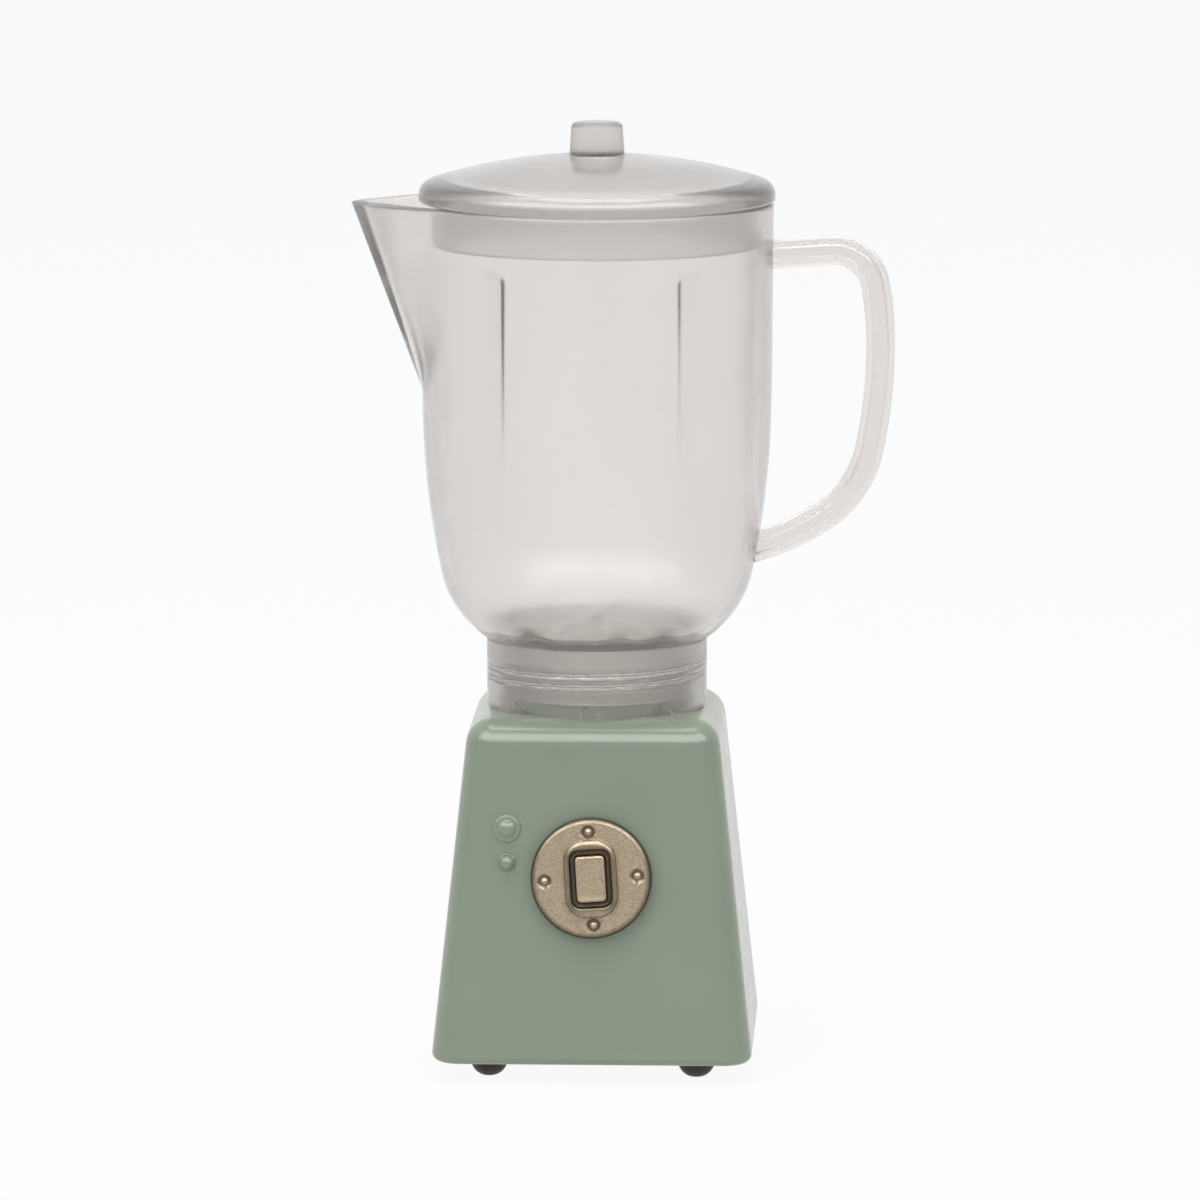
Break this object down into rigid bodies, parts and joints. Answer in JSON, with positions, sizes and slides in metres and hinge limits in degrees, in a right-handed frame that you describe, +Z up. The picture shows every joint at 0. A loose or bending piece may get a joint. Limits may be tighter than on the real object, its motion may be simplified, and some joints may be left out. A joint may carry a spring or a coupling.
{
  "type": "toy blender",
  "caption": "Miniature toy blender: tapered base on rubber feet with a turning dial and push button, clear lift-off jug with spout, D-handle and screw collar, and clear plug lid with a knob.",
  "frame": {"origin": "bottom centre of the whole object's box, on the plane its feet stand on", "axes": "+Z up; the dial faces -Y; the handle points to +X and the spout to -X"},
  "size_m": [0.0517, 0.0338, 0.09],
  "materials": {
    "green_plastic": "gloss",
    "dark_plastic": "satin",
    "steel": "satin",
    "rubber": "matte",
    "bronze_paint": "metallic paint",
    "hub_plastic": "satin",
    "clear_plastic": "clear gloss"
  },
  "bodies": {
    "base": {"base_shell": "green_plastic", "bottom_plate": "dark_plastic", "plate_screws": "steel", "foot_front_left": "rubber", "foot_front_right": "rubber", "foot_rear_left": "rubber", "foot_rear_right": "rubber", "dial_thrust_washer": "hub_plastic", "dial_wave_washer": "steel"},
    "dial": {"dial_face": "bronze_paint", "dial_rivets": "bronze_paint", "dial_hub": "hub_plastic", "dial_clip": "steel", "button_spring": "steel"},
    "button": {"dial_button": "bronze_paint", "button_clip": "steel"},
    "jug": {"jar_body": "clear_plastic", "jar_handle": "clear_plastic", "screw_collar": "clear_plastic"},
    "lid": {"lid": "clear_plastic"}
  },
  "joints": [
    {"name": "dial_turn", "type": "hinge", "parent": "base", "child": "dial", "pos_m": [-0.00244, -0.01336, 0.01965], "axis": [0, -0.9944, 0.1057], "continuous": true},
    {"name": "button_press", "type": "slide", "parent": "dial", "child": "button", "axis": [0, 0.9944, -0.1057], "range_m": [0, 0.0004], "stiffness_N_per_m": 100, "springref_m": -0.0005, "deforming": ["button_spring"]},
    {"name": "jug_lift", "type": "slide", "parent": "base", "child": "jug", "axis": [0, 0, 1], "range_m": [0, 0.02]},
    {"name": "lid_lift", "type": "slide", "parent": "jug", "child": "lid", "axis": [0, 0, 1], "range_m": [0, 0.015]}
  ]
}
